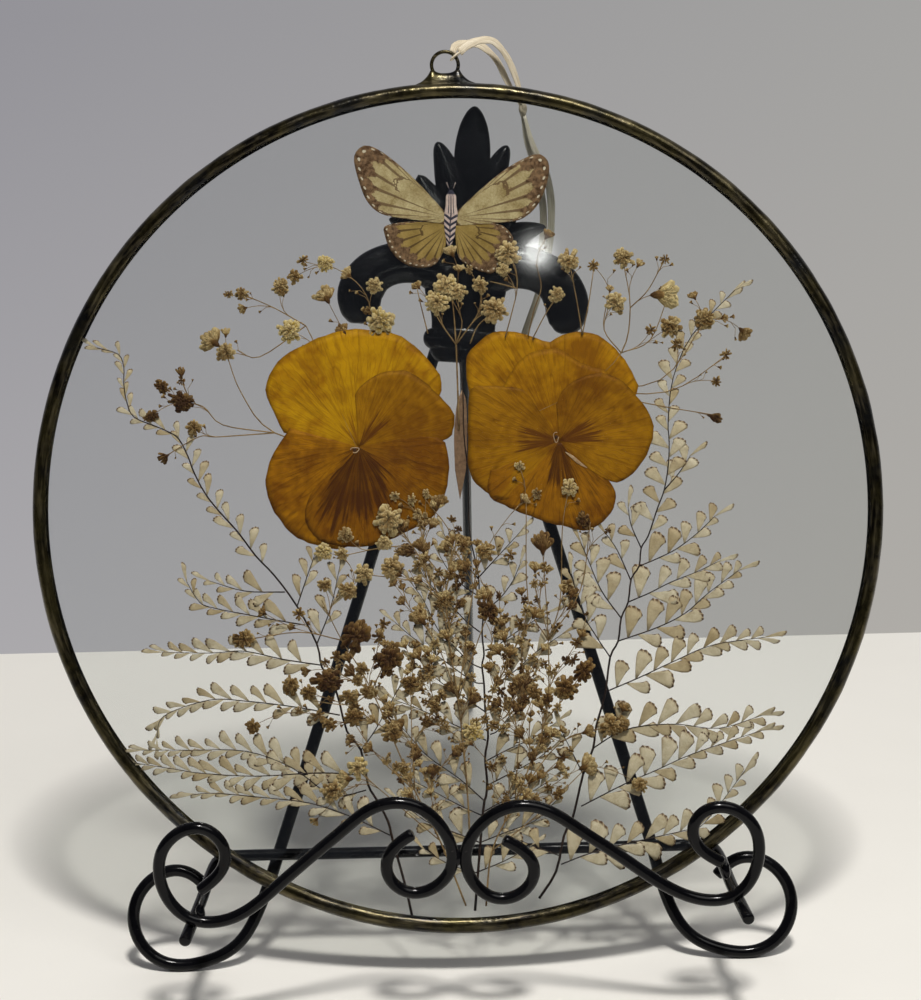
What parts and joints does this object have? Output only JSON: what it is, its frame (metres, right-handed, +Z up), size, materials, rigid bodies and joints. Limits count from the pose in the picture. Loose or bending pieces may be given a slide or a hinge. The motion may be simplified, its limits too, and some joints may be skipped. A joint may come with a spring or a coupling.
{
  "type": "pressed flower frame",
  "caption": "Round double-glass frame of pressed flowers, ferns and a butterfly in a dark soldered rim, leaning on a wrought iron easel with scrolls and a fleur-de-lis.",
  "frame": {"origin": "middle of the bounding box of everything but the ribbon, on the surface that the easel stands on", "axes": "+Z up; the glass faces -Y and leans back by 17 degrees; +X to the right as seen from the front"},
  "size_m": [0.254, 0.2563, 0.2684],
  "materials": {
    "clear_glass": "clear float glass, polished",
    "patina_solder": "hand-run solder bead with a black patina, worn bright on its crest",
    "black_iron": "glossy black paint over wrought rod and cast iron",
    "raffia": "flat cream raffia, slightly shiny, with fine lengthwise fibres",
    "butterfly_wing": "matt scaled wing, cream and ochre with brown veins and edges",
    "pansy_petal": "dried petal, golden yellow browning to ochre, translucent",
    "browned_petal": "dried petal gone brown, translucent",
    "fern_leaf": "dried fern, faded to tan, with a thin black stem",
    "dried_blossom": "dried small blossoms on thread-like stems, cream to brown"
  },
  "bodies": {
    "root": {"back_glass": "clear_glass", "browned_petal": "browned_petal", "butterfly": "butterfly_wing", "centre_frond": "fern_leaf", "finial": "black_iron", "front_glass": "clear_glass", "hanging_ring": "patina_solder", "left_frond": "fern_leaf", "left_leg": "black_iron", "left_pansy": "pansy_petal", "left_scroll": "black_iron", "rear_leg": "black_iron", "ribbon_back_strand": "raffia", "ribbon_back_tail": "raffia", "ribbon_front_strand": "raffia", "ribbon_front_tail": "raffia", "ribbon_hitch": "raffia", "ribbon_knot": "raffia", "right_frond": "fern_leaf", "right_leg": "black_iron", "right_pansy": "pansy_petal", "right_scroll": "black_iron", "solder_rim": "patina_solder", "sprig_lower_left": "dried_blossom", "sprig_lower_right": "dried_blossom", "sprig_middle": "dried_blossom", "sprig_top": "dried_blossom", "sprig_upper_left": "dried_blossom", "sprig_upper_right": "dried_blossom", "support_rod": "black_iron"}
  },
  "joints": []
}
